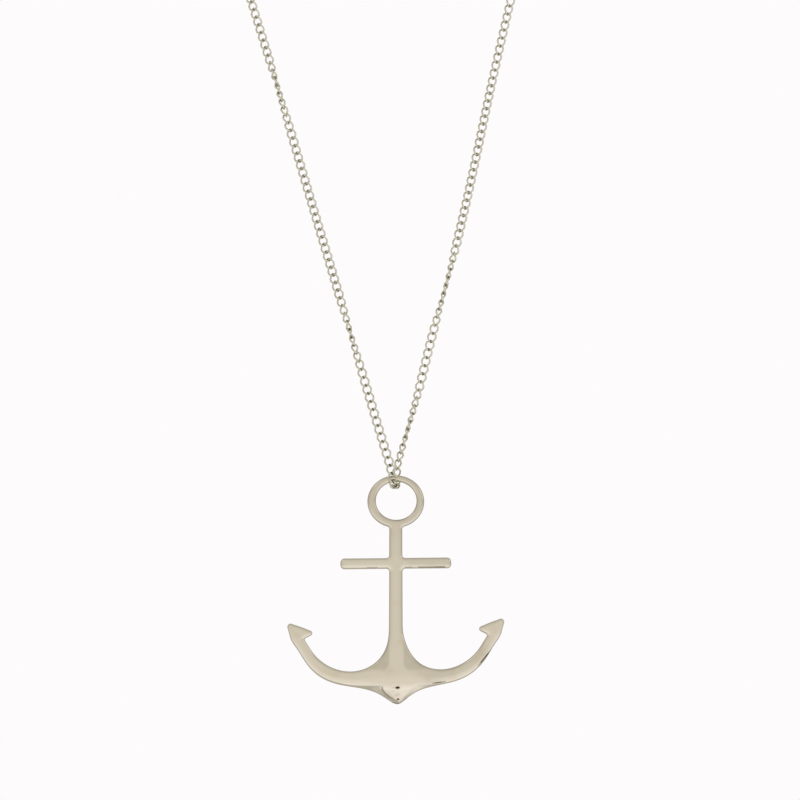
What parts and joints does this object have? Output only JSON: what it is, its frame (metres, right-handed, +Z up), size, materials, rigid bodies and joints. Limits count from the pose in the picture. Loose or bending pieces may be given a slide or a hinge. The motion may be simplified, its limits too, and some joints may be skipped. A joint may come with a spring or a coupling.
{
  "type": "anchor pendant necklace",
  "caption": "Long necklace: flat cast anchor pendant with an oval ring, hanging free on a fine curb chain that closes at the nape.",
  "frame": {"origin": "middle of the clasp, where the chain lies on the nape of the neck", "axes": "+X to the right when the wearer's front is seen, +Y from the front of the neck to the nape, +Z up; the anchor faces -Y"},
  "size_m": [0.1194, 0.1149, 0.322],
  "materials": {
    "anchor_metal": "polished warm silver plating on a casting",
    "chain_metal": "polished warm silver plating on wire",
    "clasp_metal": "polished warm silver plating"
  },
  "bodies": {
    "necklace": {"chain": "chain_metal", "clasp": "clasp_metal"},
    "pendant": {"anchor": "anchor_metal"}
  },
  "joints": [
    {"name": "pendant_swing", "type": "hinge", "parent": "necklace", "child": "pendant", "pos_m": [0.004, -0.11, -0.266], "axis": [1, 0, 0], "range_deg": [-90, 90]}
  ]
}
